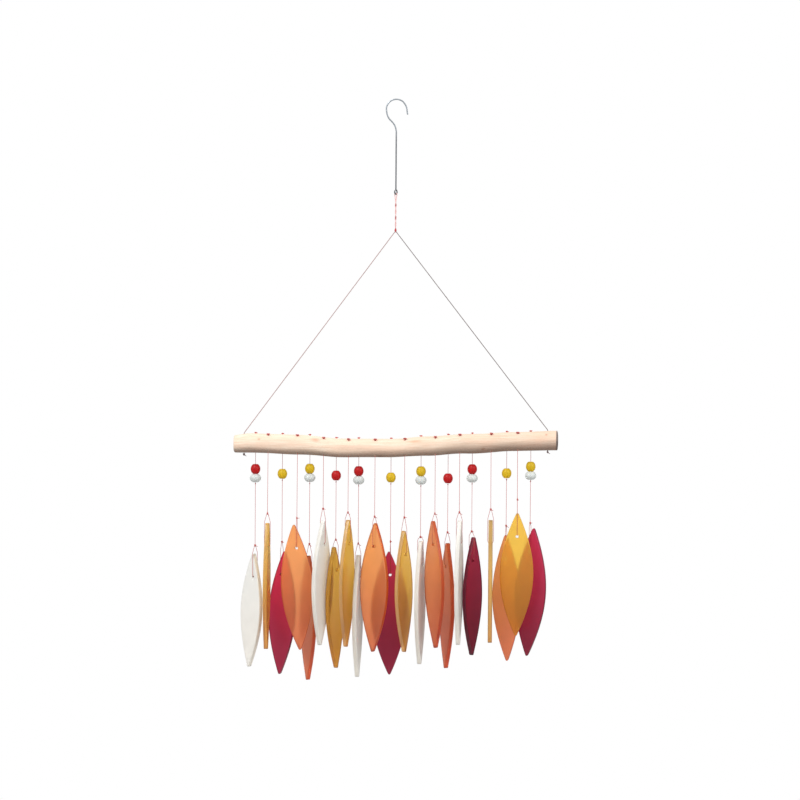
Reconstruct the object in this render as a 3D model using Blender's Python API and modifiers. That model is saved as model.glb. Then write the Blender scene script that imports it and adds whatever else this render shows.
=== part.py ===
"""Glass wind chime: twenty-one frosted glass leaves on red threads under a driftwood branch.

The branch hangs in a thin cord from a wire hook. Metres, +Z up, seen from -Y. The origin is the
inside top of the hook's curl, where a peg or nail would carry the whole chime.
"""
import math
from collections import namedtuple

import bmesh
import bpy
from mathutils import Vector

# Gaps
GAP = 0.0003
THREAD_CLEARANCE = 0.0005

# Wire hook
WIRE_DIAMETER = 0.0014
CURL_INSIDE_DIAMETER = 0.019
HOOK_LENGTH = 0.0937
EYE_INSIDE_DIAMETER = 0.0032
EYE_TURN = math.radians(60)

# Cord sling between the hook and the branch
CORD_DIAMETER = 0.0009
SLING_LOOP_LENGTH = 0.0065
SLING_TWIST_LENGTH = 0.031
SLING_RISE = 0.2142
APEX_KNOT_DIAMETER = 0.0026
APEX_KNOT_LENGTH = 0.004
SLING_KNOT_DIAMETER = 0.003

# Driftwood branch
BRANCH_DIAMETER = 0.019
BRANCH_END_REACH = 0.010
BRANCH_END_ROUNDING = 0.0018
BRANCH_SHIFT = 0.0019
HOLE_ROW_OFFSET = 0.005

# Strands along the branch, and how far their leaves hang
STRAND_PITCH = 0.0137
FIRST_STRAND_GAP = 0.0124
LAST_STRAND_GAP = 0.0172
FRONT_HANG = 0.0988
BACK_HANG = 0.1238
LEAF_ROW_OFFSET = 0.0070

# Thread and its knots
THREAD_DIAMETER = 0.0005
TOP_KNOT_DIAMETER = 0.0026
LOOP_KNOT_DIAMETER = 0.0022
LOOP_LENGTH = 0.0315
STOPPER_DIAMETER = 0.0024

# Glass leaf
LEAF_LENGTH = 0.125
LEAF_WIDTH = 0.034
LEAF_THICKNESS = 0.0042
LEAF_EDGE_ROUNDING = 0.0007
LEAF_TIP_WIDTH = 0.0014
LEAF_HOLE_DIAMETER = 0.003
LEAF_HOLE_DROP = 0.0235
LEAF_WIDEST = 0.50
LEAF_FULLNESS = 0.92

# Beads
BEAD_DIAMETER = 0.0097
BEAD_LENGTH = 0.0098
CLEAR_BEAD_DIAMETER = 0.0113
CLEAR_BEAD_LENGTH = 0.0084
BEAD_END_DIAMETER = 0.0046

# Faceting
BRANCH_STATIONS = 14
BRANCH_SIDES = 12
WIRE_SIDES = 6
THREAD_SIDES = 6
LOOP_SIDES = 4
LEAF_SIDE_STEPS = 7
LEAF_HOLE_SIDES = 6
DRILL_SIDES = 5
BEAD_SIDES = 8
BEAD_SIDE_STEPS = 3

# The branch's own form: share of its length, then its rise and its thickness as shares of its radius
BRANCH_FORM = (
    (0.00, -0.04, 0.92),
    (0.05, 0.07, 1.02),
    (0.20, -0.07, 1.04),
    (0.33, -0.38, 0.98),
    (0.48, -0.37, 0.96),
    (0.60, -0.13, 1.01),
    (0.72, 0.15, 1.04),
    (0.86, 0.40, 1.00),
    (1.00, 0.56, 1.01),
)

# The curl's neck and tip, from its centre, as shares of its radius
CURL_TIP = ((1.10, -0.50), (1.03, -0.05))
CURL_NECK = ((-0.74, -0.87), (-0.38, -1.26), (-0.14, -1.60))

# One row for each strand. Place: shift along the branch, as a share of the pitch. Hang: extra drop of
# the leaf's hole, in metres. Length and width: the leaf's size as a share of the usual leaf. Turn: how
# far the leaf has swung round its thread, in degrees, a positive turn bringing its left edge forward.
# Lean: how far it tilts in its own plane, in degrees, a positive lean taking its lower tip to the right.
# Hole: how far right of the leaf's middle line the hole was drilled, in metres. Loop: length of the
# thread's loop as a share of the usual one. Bead: drop of the first bead below the branch, in metres.
Strand = namedtuple("Strand", "place hang length width turn lean hole loop glass beads bead")
STRANDS = (
    Strand(-0.09, 0.0104, 0.92, 1.00, -51, -3.5, 0.0034, 1.01, "white", ("red", "clear"), 0.0130),
    Strand(-0.12, 0.0035, 1.00, 1.00, 88, -3.0, 0.0000, 1.05, "yellow", (), 0),
    Strand(-0.12, 0.0074, 0.99, 0.87, -24, -2.2, -0.0024, 1.03, "red", ("yellow",), 0.0166),
    Strand(0.02, 0.0047, 1.00, 0.93, -6, 3.4, 0.0017, 0.95, "orange", (), 0),
    Strand(-0.11, 0.0119, 1.00, 1.00, -64, 0.3, 0.0017, 1.11, "orange", ("yellow", "clear"), 0.0104),
    Strand(-0.08, 0.0006, 0.99, 1.00, 64, -2.5, 0.0009, 1.12, "white", (), 0),
    Strand(-0.18, 0.0024, 0.98, 1.00, 65, 3.0, 0.0028, 0.96, "yellow", ("red",), 0.0153),
    Strand(-0.27, -0.0003, 1.01, 1.00, 70, -2.0, 0.0000, 0.98, "yellow", (), 0),
    Strand(-0.53, 0.0108, 0.98, 1.00, 79, -1.2, -0.0008, 1.11, "white", ("red", "clear"), 0.0107),
    Strand(-0.33, 0.0025, 1.03, 1.00, -38, -1.0, -0.0008, 0.94, "orange", (), 0),
    Strand(-0.17, 0.0071, 0.99, 1.01, 5, 0.5, 0.0012, 1.06, "red", ("yellow",), 0.0171),
    Strand(-0.17, 0.0100, 0.97, 1.00, 64, 1.4, 0.0009, 1.16, "yellow", (), 0),
    Strand(0.03, -0.0037, 0.99, 1.00, 76, -1.2, -0.0008, 0.87, "white", ("yellow", "clear"), 0.0122),
    Strand(0.05, 0.0002, 1.01, 1.00, -61, 3.2, 0.0022, 0.98, "orange", (), 0),
    Strand(0.01, -0.0019, 1.01, 1.00, -70, -1.0, 0.0000, 1.08, "orange", ("red",), 0.0205),
    Strand(-0.17, -0.0005, 0.99, 1.00, 79, -2.5, -0.0015, 1.00, "white", (), 0),
    Strand(-0.22, -0.0078, 0.95, 1.00, 58, -1.2, -0.0032, 0.93, "red", ("red", "clear"), 0.0123),
    Strand(0.11, -0.0012, 0.98, 1.00, 87, 0.0, 0.0000, 1.08, "yellow", (), 0),
    Strand(0.30, -0.0102, 1.01, 0.84, -18, 1.1, 0.0000, 1.04, "orange", ("yellow",), 0.0188),
    Strand(0.04, -0.0084, 0.98, 0.98, -3, -0.5, 0.0000, 1.17, "yellow", (), 0),
    Strand(0.06, -0.0176, 1.03, 0.94, -22, -2.9, -0.0028, 0.90, "red", ("yellow", "clear"), 0.0125),
)

COLOURS = {
    "wire": ((0.30, 0.31, 0.32), 0.35, 1.0),
    "cord": ((0.30, 0.24, 0.22), 0.9, 0.0),
    "wood": ((0.80, 0.68, 0.52), 0.85, 0.0),
    "thread": ((0.62, 0.10, 0.12), 0.8, 0.0),
    "white": ((0.84, 0.83, 0.78), 0.5, 0.0),
    "yellow": ((0.72, 0.42, 0.06), 0.5, 0.0),
    "orange": ((0.78, 0.28, 0.10), 0.5, 0.0),
    "red": ((0.45, 0.03, 0.07), 0.5, 0.0),
    "red bead": ((0.58, 0.02, 0.04), 0.45, 0.0),
    "yellow bead": ((0.75, 0.45, 0.03), 0.45, 0.0),
}

# Sizes that follow from the others
SLING_SPAN = FIRST_STRAND_GAP + (len(STRANDS) - 1) * STRAND_PITCH + LAST_STRAND_GAP
BRANCH_LENGTH = SLING_SPAN + 2 * BRANCH_END_REACH
BRANCH_RADIUS = BRANCH_DIAMETER / 2
CORD_RADIUS = CORD_DIAMETER / 2
THREAD_RADIUS = THREAD_DIAMETER / 2
WIRE_RADIUS = WIRE_DIAMETER / 2
SLING_TOP_Z = -HOOK_LENGTH + GAP + CORD_RADIUS
PAIR_TOP_Z = SLING_TOP_Z - SLING_LOOP_LENGTH
APEX_Z = PAIR_TOP_Z - SLING_TWIST_LENGTH
BRANCH_Z = APEX_Z - SLING_RISE


def clear_scene():
    for obj in list(bpy.data.objects):
        bpy.data.objects.remove(obj, do_unlink=True)


def new_collection(name):
    collection = bpy.data.collections.new(name)
    bpy.context.scene.collection.children.link(collection)
    return collection


def make_material(name, colour, roughness, metallic):
    material = bpy.data.materials.new(name)
    material.use_nodes = True
    shader = material.node_tree.nodes["Principled BSDF"]
    shader.inputs["Base Color"].default_value = (*colour, 1.0)
    shader.inputs["Roughness"].default_value = roughness
    shader.inputs["Metallic"].default_value = metallic
    return material


def paint(obj, finish):
    colour, roughness, metallic = COLOURS[finish]
    obj.data.materials.clear()
    obj.data.materials.append(make_material(obj.name, colour, roughness, metallic))


def smooth_route(points, steps):
    """Points of a smooth curve through the given ones, with so many steps between each two."""
    points = [Vector(point) for point in points]
    ends = [points[0] * 2 - points[1]] + points + [points[-1] * 2 - points[-2]]
    route = []
    for a, b, c, d in zip(ends, ends[1:], ends[2:], ends[3:]):
        for step in range(steps):
            t = step / steps
            bend = (a * 2 - b * 5 + c * 4 - d) * t * t + (b * 3 - a - c * 3 + d) * t ** 3
            route.append(b + ((c - a) * t + bend) / 2)
    route.append(points[-1])
    return route


def make_tube(name, route, radii, sides, collection):
    """A round bar along the route, with a radius at each point. A list of one radius suits them all."""
    curve = bpy.data.curves.new(name, "CURVE")
    curve.dimensions = "3D"
    curve.bevel_depth = 1.0
    curve.bevel_resolution = sides // 2 - 2
    curve.use_fill_caps = True
    if len(radii) == 1:
        radii = radii * len(route)
    spline = curve.splines.new("POLY")
    spline.points.add(len(route) - 1)
    for point, place, radius in zip(spline.points, route, radii):
        point.co = (*place, 1.0)
        point.radius = radius
    tube = bpy.data.objects.new(name, curve)
    collection.objects.link(tube)
    return tube


def make_solid(tube):
    """The tube's mesh, with its caps welded on, in place of the curve."""
    name = tube.name
    collection = tube.users_collection[0]
    depsgraph = bpy.context.evaluated_depsgraph_get()
    mesh = bpy.data.meshes.new_from_object(tube.evaluated_get(depsgraph))
    work = bmesh.new()
    work.from_mesh(mesh)
    bmesh.ops.remove_doubles(work, verts=work.verts, dist=1e-6)
    bmesh.ops.recalc_face_normals(work, faces=work.faces)
    work.to_mesh(mesh)
    work.free()
    place = tube.matrix_world.copy()
    bpy.data.objects.remove(tube, do_unlink=True)
    solid = bpy.data.objects.new(name, mesh)
    solid.matrix_world = place
    collection.objects.link(solid)
    return solid


def combine(solid, tool, operation):
    """Adds the tool to the solid or takes it away, and leaves the tool hidden with the cutters."""
    tool.hide_render = True
    tool.display_type = "WIRE"
    boolean = solid.modifiers.new(tool.name, "BOOLEAN")
    boolean.operation = operation
    boolean.solver = "EXACT"
    boolean.object = tool


def branch_at(x):
    """Height of the branch's middle line and its radius at x."""
    share = min(max((x - BRANCH_SHIFT) / BRANCH_LENGTH + 0.5, 0.0), 1.0)
    for before, after in zip(BRANCH_FORM, BRANCH_FORM[1:]):
        if share <= after[0]:
            t = (share - before[0]) / (after[0] - before[0])
            ease = t * t * (3 - 2 * t)
            rise = before[1] + (after[1] - before[1]) * ease
            thickness = before[2] + (after[2] - before[2]) * ease
            return BRANCH_Z + rise * BRANCH_RADIUS, thickness * BRANCH_RADIUS


def branch_surface(x, y, side):
    """Height of the branch's surface over or under a point: side 1 is the top, -1 the underside."""
    middle, radius = branch_at(x)
    return middle + side * math.sqrt(radius ** 2 - y ** 2)


def row_of(index):
    """Rows alternate: -1 for the front row, nearer the viewer, and 1 for the back row."""
    return 1 if index % 2 == 0 else -1


def strand_x(index):
    first = sling_hole_x(-1) + FIRST_STRAND_GAP
    return first + (index + STRANDS[index].place) * STRAND_PITCH


def leaf_hole(index):
    """Centre of the hole that the strand's thread holds its leaf by."""
    row = row_of(index)
    hang = (BACK_HANG if row > 0 else FRONT_HANG) + STRANDS[index].hang
    return Vector((strand_x(index), row * LEAF_ROW_OFFSET, BRANCH_Z - hang))


def thread_knot(index):
    """Centre of the knot over the leaf, where the strand parts into its loop."""
    return leaf_hole(index) + Vector((0, 0, LOOP_LENGTH * STRANDS[index].loop))


def thread_at(index, z):
    """The thread's place at a height between the branch's underside and the knot over the leaf."""
    x = strand_x(index)
    y = row_of(index) * HOLE_ROW_OFFSET
    start = Vector((x, y, branch_surface(x, y, -1)))
    knot = thread_knot(index)
    return start.lerp(knot, (start.z - z) / (start.z - knot.z))


def make_hook(collection):
    """A curl, a straight shank and a small eye, bent from one wire."""
    radius = CURL_INSIDE_DIAMETER / 2 + WIRE_RADIUS
    centre = Vector((0, 0, -CURL_INSIDE_DIAMETER / 2))
    eye_radius = EYE_INSIDE_DIAMETER / 2 + WIRE_RADIUS
    eye_centre = Vector((0, 0, -HOOK_LENGTH + EYE_INSIDE_DIAMETER / 2))
    guide = [centre + Vector((x, 0, z)) * radius for x, z in CURL_TIP]
    for degrees in range(20, 201, 36):
        angle = math.radians(degrees)
        guide.append(centre + Vector((math.cos(angle), 0, math.sin(angle))) * radius)
    guide += [centre + Vector((x, 0, z)) * radius for x, z in CURL_NECK]
    shank_top = Vector((0, 0, guide[-1].z - radius / 2))
    guide.append(shank_top)
    route = smooth_route(guide, 2)
    route.append(eye_centre + Vector((0, 0, eye_radius + WIRE_DIAMETER)))
    across = Vector((math.cos(EYE_TURN), math.sin(EYE_TURN), 0))
    closing = math.asin((WIRE_DIAMETER + GAP) / eye_radius)
    turn = 2 * math.pi - closing
    steps = 9
    for step in range(steps + 1):
        angle = math.pi / 2 - turn * step / steps
        route.append(eye_centre + (across * math.cos(angle) + Vector((0, 0, math.sin(angle)))) * eye_radius)
    hook = make_tube("wire_hook", route, [WIRE_RADIUS], WIRE_SIDES, collection)
    paint(hook, "wire")


def sling_hole_x(side):
    return BRANCH_SHIFT + side * SLING_SPAN / 2


def make_sling(collection, helpers):
    """The cord sling: a loop through the eye, a twisted pair, a knot, two legs and two end knots."""
    along = Vector((-math.sin(EYE_TURN), math.cos(EYE_TURN), 0))
    bend = WIRE_RADIUS + GAP + CORD_RADIUS
    pair_radius = CORD_DIAMETER * 0.85
    knot_radius = APEX_KNOT_DIAMETER / 2
    apex = Vector((0, 0, APEX_Z))
    half_knot = Vector((0, 0, APEX_KNOT_LENGTH / 2))
    pair_top = Vector((0, 0, PAIR_TOP_Z))
    pair = [pair_top, apex + half_knot * 1.5, apex + half_knot / 2, apex - half_knot / 2, apex - half_knot]
    pair_radii = [pair_radius, pair_radius, knot_radius, knot_radius, CORD_RADIUS]
    sling = make_solid(make_tube("suspension_cord", pair, pair_radii, WIRE_SIDES, collection))

    end = along * (CORD_RADIUS + GAP / 2)
    loop_end = pair_top - Vector((0, 0, CORD_DIAMETER))
    loop = [loop_end + end]
    wire_z = -HOOK_LENGTH - WIRE_RADIUS
    for degrees in range(-30, 211, 30):
        angle = math.radians(degrees)
        loop.append(along * math.cos(angle) * bend + Vector((0, 0, wire_z + math.sin(angle) * bend)))
    loop.append(loop_end - end)
    loop_tool = make_solid(make_tube("sling_loop", loop, [CORD_RADIUS], THREAD_SIDES, helpers))
    combine(sling, loop_tool, "UNION")

    for side, name in ((-1, "sling_left_leg"), (1, "sling_right_leg")):
        x = sling_hole_x(side)
        top = Vector((x, 0, branch_surface(x, 0, 1) + CORD_DIAMETER))
        bottom_z = branch_surface(x, 0, -1) - GAP
        end_radius = SLING_KNOT_DIAMETER / 2
        leg = [apex, top, Vector((x, 0, bottom_z))]
        leg += [Vector((x, 0, bottom_z - end_radius * share)) for share in (0.5, 1.5, 2)]
        radii = [CORD_RADIUS] * 3 + [end_radius, end_radius, CORD_RADIUS]
        tool = make_solid(make_tube(name, leg, radii, WIRE_SIDES, helpers))
        combine(sling, tool, "UNION")
    paint(sling, "cord")


def make_branch(collection, helpers):
    """The stick, with a hole for each strand and one near each end for the sling."""
    left_end = BRANCH_SHIFT - BRANCH_LENGTH / 2
    places = [left_end + BRANCH_LENGTH * step / BRANCH_STATIONS for step in range(BRANCH_STATIONS + 1)]
    places[1:1] = [left_end + BRANCH_END_ROUNDING]
    places[-1:-1] = [places[-1] - BRANCH_END_ROUNDING / 2]
    route = [Vector((x, 0, branch_at(x)[0])) for x in places]
    radii = [branch_at(x)[1] for x in places]
    radii[0] -= BRANCH_END_ROUNDING
    radii[-1] -= BRANCH_END_ROUNDING / 2
    branch = make_solid(make_tube("driftwood_branch", route, radii, BRANCH_SIDES, collection))

    drills = bpy.data.meshes.new("branch_drills")
    work = bmesh.new()
    drill_length = 4 * BRANCH_DIAMETER
    thread_hole = THREAD_RADIUS + THREAD_CLEARANCE
    cord_hole = CORD_RADIUS + THREAD_CLEARANCE
    holes = [(strand_x(i), row_of(i) * HOLE_ROW_OFFSET, thread_hole) for i in range(len(STRANDS))]
    holes += [(sling_hole_x(side), 0, cord_hole) for side in (-1, 1)]
    for x, y, radius in holes:
        made = bmesh.ops.create_cone(work, cap_ends=True, segments=DRILL_SIDES, radius1=radius, radius2=radius,
                                     depth=drill_length)
        bmesh.ops.translate(work, verts=made["verts"], vec=(x, y, BRANCH_Z))
    work.to_mesh(drills)
    work.free()
    tool = bpy.data.objects.new("branch_drills", drills)
    helpers.objects.link(tool)
    combine(branch, tool, "DIFFERENCE")
    paint(branch, "wood")


def bead_stack(index):
    """The strand's beads from the top: kind, height of its middle, radius and length."""
    strand = STRANDS[index]
    x = strand_x(index)
    z = branch_surface(x, row_of(index) * HOLE_ROW_OFFSET, -1) - strand.bead
    stack = []
    for kind in strand.beads:
        clear = kind == "clear"
        length = CLEAR_BEAD_LENGTH if clear else BEAD_LENGTH
        radius = (CLEAR_BEAD_DIAMETER if clear else BEAD_DIAMETER) / 2
        stack.append((kind, z - length / 2, radius, length))
        z -= length
    return stack


def make_thread(index, collection, helpers):
    """One thread: top knot, strand, a stopper under its beads, lower knot and loop through the leaf."""
    strand = STRANDS[index]
    x = strand_x(index)
    y = row_of(index) * HOLE_ROW_OFFSET
    radius_here = branch_at(x)[1]
    steepness = radius_here / math.sqrt(radius_here ** 2 - y ** 2)
    top_radius = TOP_KNOT_DIAMETER / 2
    top = Vector((x, y, branch_surface(x, y, 1) + (top_radius + GAP) * steepness))
    up = Vector((0, 0, 1))
    route = [top + up * top_radius, top, top - up * top_radius]
    radii = [THREAD_RADIUS, top_radius, THREAD_RADIUS]
    route.append(Vector((x, y, branch_surface(x, y, -1))))
    radii.append(THREAD_RADIUS)
    if strand.beads:
        last = bead_stack(index)[-1]
        stopper_radius = STOPPER_DIAMETER / 2
        stopper_z = last[1] - last[3] / 2 - GAP
        for share, radius in ((0, THREAD_RADIUS), (1, stopper_radius), (2, THREAD_RADIUS)):
            route.append(thread_at(index, stopper_z - stopper_radius * share))
            radii.append(radius)
    knot = thread_knot(index)
    knot_radius = LOOP_KNOT_DIAMETER / 2
    for share, radius in ((1.5, THREAD_RADIUS), (0.4, knot_radius), (-0.8, knot_radius)):
        route.append(knot + up * knot_radius * share)
        radii.append(radius)
    name = f"leaf_thread_{index + 1:02d}"
    thread = make_solid(make_tube(name, route, radii, THREAD_SIDES, collection))

    loop = make_tube(f"thread_loop_{index + 1:02d}", loop_route(index), [THREAD_RADIUS], LOOP_SIDES, helpers)
    combine(thread, make_solid(loop), "UNION")
    paint(thread, "thread")


def loop_route(index):
    """The loop: down the leaf's back, through the top of its hole, and up its front."""
    hole = leaf_hole(index)
    knot = thread_knot(index)
    turn = math.radians(STRANDS[index].turn)
    forward = Vector((math.sin(turn), -math.cos(turn), 0))
    up = Vector((0, 0, 1))
    off_face = LEAF_THICKNESS / 2 + GAP + THREAD_DIAMETER
    in_hole = LEAF_HOLE_DIAMETER / 2 - GAP - THREAD_DIAMETER
    tip = hole + up * (LEAF_HOLE_DROP + LEAF_EDGE_ROUNDING)
    shoulder = in_hole + THREAD_DIAMETER
    end = forward * LOOP_KNOT_DIAMETER / 4
    route = [knot - end]
    for side in (-1, 1):
        leg = [tip + forward * off_face * side, hole + forward * off_face * side + up * shoulder * 2]
        leg.append(hole + forward * LEAF_THICKNESS / 2 * side + up * in_hole)
        route += leg if side < 0 else reversed(leg)
    route.append(knot + end)
    return route


def leaf_half_width(share, width):
    """Half the leaf's width at a share of its length from the top tip."""
    widest = math.log(0.5) / math.log(LEAF_WIDEST)
    fullness = math.sin(math.pi * share ** widest) ** LEAF_FULLNESS if 0 < share < 1 else 0.0
    tip = LEAF_TIP_WIDTH / 2
    return tip + (width / 2 - tip) * fullness


def leaf_outline(index):
    """The leaf's outline round the hole it hangs by, anticlockwise."""
    strand = STRANDS[index]
    length = LEAF_LENGTH * strand.length
    width = LEAF_WIDTH * strand.width
    shares = [step / LEAF_SIDE_STEPS for step in range(LEAF_SIDE_STEPS + 1)]
    left = [(-leaf_half_width(s, width) - strand.hole, LEAF_HOLE_DROP - s * length) for s in shares]
    right = [(leaf_half_width(s, width) - strand.hole, LEAF_HOLE_DROP - s * length) for s in shares]
    return left + right[::-1]


def make_leaf(index, collection):
    """One flat glass leaf with rounded edges, hung by its hole."""
    strand = STRANDS[index]
    name = f"glass_leaf_{index + 1:02d}"
    curve = bpy.data.curves.new(name, "CURVE")
    curve.dimensions = "2D"
    curve.fill_mode = "BOTH"
    curve.extrude = LEAF_THICKNESS / 2 - LEAF_EDGE_ROUNDING
    curve.bevel_depth = LEAF_EDGE_ROUNDING
    curve.bevel_resolution = 0
    curve.offset = -LEAF_EDGE_ROUNDING
    corner = LEAF_HOLE_DIAMETER / 2 / math.cos(math.pi / LEAF_HOLE_SIDES)
    angles = [2 * math.pi * side / LEAF_HOLE_SIDES for side in range(LEAF_HOLE_SIDES)]
    hole = [(corner * math.cos(angle), corner * math.sin(angle)) for angle in angles]
    for outline in (leaf_outline(index), hole):
        spline = curve.splines.new("POLY")
        spline.use_cyclic_u = True
        spline.points.add(len(outline) - 1)
        for point, (x, y) in zip(spline.points, outline):
            point.co = (x, y, 0, 1)
    leaf = bpy.data.objects.new(name, curve)
    leaf.location = leaf_hole(index)
    leaf.rotation_euler = (math.pi / 2, -math.radians(strand.lean), math.radians(strand.turn))
    collection.objects.link(leaf)
    paint(leaf, strand.glass)


def make_beads(index, collection):
    """The strand's bead, or its pair of touching beads, turned round the thread."""
    stack = bead_stack(index)
    middle_z = sum(z for _, z, _, _ in stack) / len(stack)
    centre = thread_at(index, middle_z)
    bore = THREAD_RADIUS + THREAD_CLEARANCE
    profile = []
    for kind, z, radius, length in stack:
        reach = math.acos(BEAD_END_DIAMETER / 2 / radius)
        for step in range(BEAD_SIDE_STEPS + 1):
            angle = reach * (1 - 2 * step / BEAD_SIDE_STEPS)
            height = z + length / 2 * math.sin(angle) / math.sin(reach)
            point = (radius * math.cos(angle), 0, height - middle_z)
            if step or kind == stack[0][0]:
                profile.append(point)
    profile += [(bore, 0, profile[-1][2]), (bore, 0, profile[0][2])]
    single = len(stack) == 1
    name = f"bead_{index + 1:02d}" if single else f"bead_pair_{index + 1:02d}"
    mesh = bpy.data.meshes.new(name)
    count = len(profile)
    mesh.from_pydata(profile, [(i, (i + 1) % count) for i in range(count)], [])
    beads = bpy.data.objects.new(name, mesh)
    screw = beads.modifiers.new("turned", "SCREW")
    screw.steps = BEAD_SIDES
    screw.render_steps = BEAD_SIDES
    screw.use_merge_vertices = True
    screw.merge_threshold = 1e-6
    beads.location = centre
    collection.objects.link(beads)
    paint(beads, f"{stack[0][0]} bead")


def main():
    clear_scene()
    chime = new_collection("glass wind chime")
    helpers = new_collection("cutters")
    make_hook(chime)
    make_sling(chime, helpers)
    make_branch(chime, helpers)
    for index, strand in enumerate(STRANDS):
        make_thread(index, chime, helpers)
        make_leaf(index, chime)
        if strand.beads:
            make_beads(index, chime)


main()
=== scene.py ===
"""Glass wind chime: frosted glass leaves and beads on red threads under a driftwood branch.

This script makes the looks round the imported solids, in their own frame: metres, +Z up, seen from -Y, with
the origin at the inside top of the hook's curl. Sizes and the strands' places repeat the solids' own.
"""
import math
from collections import namedtuple

import bmesh
import bpy
import numpy as np
from mathutils import Euler, Matrix, Vector, noise


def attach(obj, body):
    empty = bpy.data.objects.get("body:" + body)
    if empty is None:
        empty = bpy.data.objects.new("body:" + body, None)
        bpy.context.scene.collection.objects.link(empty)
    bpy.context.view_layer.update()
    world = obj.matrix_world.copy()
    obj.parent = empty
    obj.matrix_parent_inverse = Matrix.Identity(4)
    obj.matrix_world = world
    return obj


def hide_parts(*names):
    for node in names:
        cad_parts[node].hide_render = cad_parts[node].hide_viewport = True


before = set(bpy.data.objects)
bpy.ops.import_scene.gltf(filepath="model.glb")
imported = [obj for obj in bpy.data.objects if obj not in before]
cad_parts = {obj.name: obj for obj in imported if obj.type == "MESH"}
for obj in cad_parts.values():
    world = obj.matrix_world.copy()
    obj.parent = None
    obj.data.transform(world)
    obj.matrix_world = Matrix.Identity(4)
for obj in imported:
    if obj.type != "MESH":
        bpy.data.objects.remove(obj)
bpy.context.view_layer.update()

# Sizes shared with the solids
GAP = 0.0003
THREAD_CLEARANCE = 0.0005
WIRE_DIAMETER = 0.0014
CURL_INSIDE_DIAMETER = 0.019
HOOK_LENGTH = 0.0937
EYE_INSIDE_DIAMETER = 0.0032
EYE_TURN = math.radians(60)
CORD_DIAMETER = 0.0009
SLING_LOOP_LENGTH = 0.0065
SLING_TWIST_LENGTH = 0.031
SLING_RISE = 0.2142
APEX_KNOT_DIAMETER = 0.0026
SLING_KNOT_DIAMETER = 0.003
BRANCH_DIAMETER = 0.019
BRANCH_END_REACH = 0.010
BRANCH_END_ROUNDING = 0.0018
BRANCH_SHIFT = 0.0019
HOLE_ROW_OFFSET = 0.005
STRAND_PITCH = 0.0137
FIRST_STRAND_GAP = 0.0124
LAST_STRAND_GAP = 0.0172
FRONT_HANG = 0.0988
BACK_HANG = 0.1238
LEAF_ROW_OFFSET = 0.0070
THREAD_DIAMETER = 0.0005
TOP_KNOT_DIAMETER = 0.0026
LOOP_KNOT_DIAMETER = 0.0022
LOOP_LENGTH = 0.0315
STOPPER_DIAMETER = 0.0024
LEAF_LENGTH = 0.125
LEAF_WIDTH = 0.034
LEAF_THICKNESS = 0.0042
LEAF_TIP_WIDTH = 0.0014
LEAF_HOLE_DIAMETER = 0.003
LEAF_HOLE_DROP = 0.0235
LEAF_WIDEST = 0.50
LEAF_FULLNESS = 0.92
BEAD_DIAMETER = 0.0097
BEAD_LENGTH = 0.0098
CLEAR_BEAD_DIAMETER = 0.0113
CLEAR_BEAD_LENGTH = 0.0084
BEAD_END_DIAMETER = 0.0046

# The branch's form: share of its length, then rise and thickness as shares of its radius
BRANCH_FORM = (
    (0.00, -0.04, 0.92),
    (0.05, 0.07, 1.02),
    (0.20, -0.07, 1.04),
    (0.33, -0.38, 0.98),
    (0.48, -0.37, 0.96),
    (0.60, -0.13, 1.01),
    (0.72, 0.15, 1.04),
    (0.86, 0.40, 1.00),
    (1.00, 0.56, 1.01),
)
# The hook's curl as shares of its radius: its open end, degrees of its round part, and its neck
CURL_TIP = ((1.10, -0.50), (1.03, -0.05))
CURL_DEGREES = range(20, 201, 36)
CURL_NECK = ((-0.74, -0.87), (-0.38, -1.26), (-0.14, -1.60))

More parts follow.
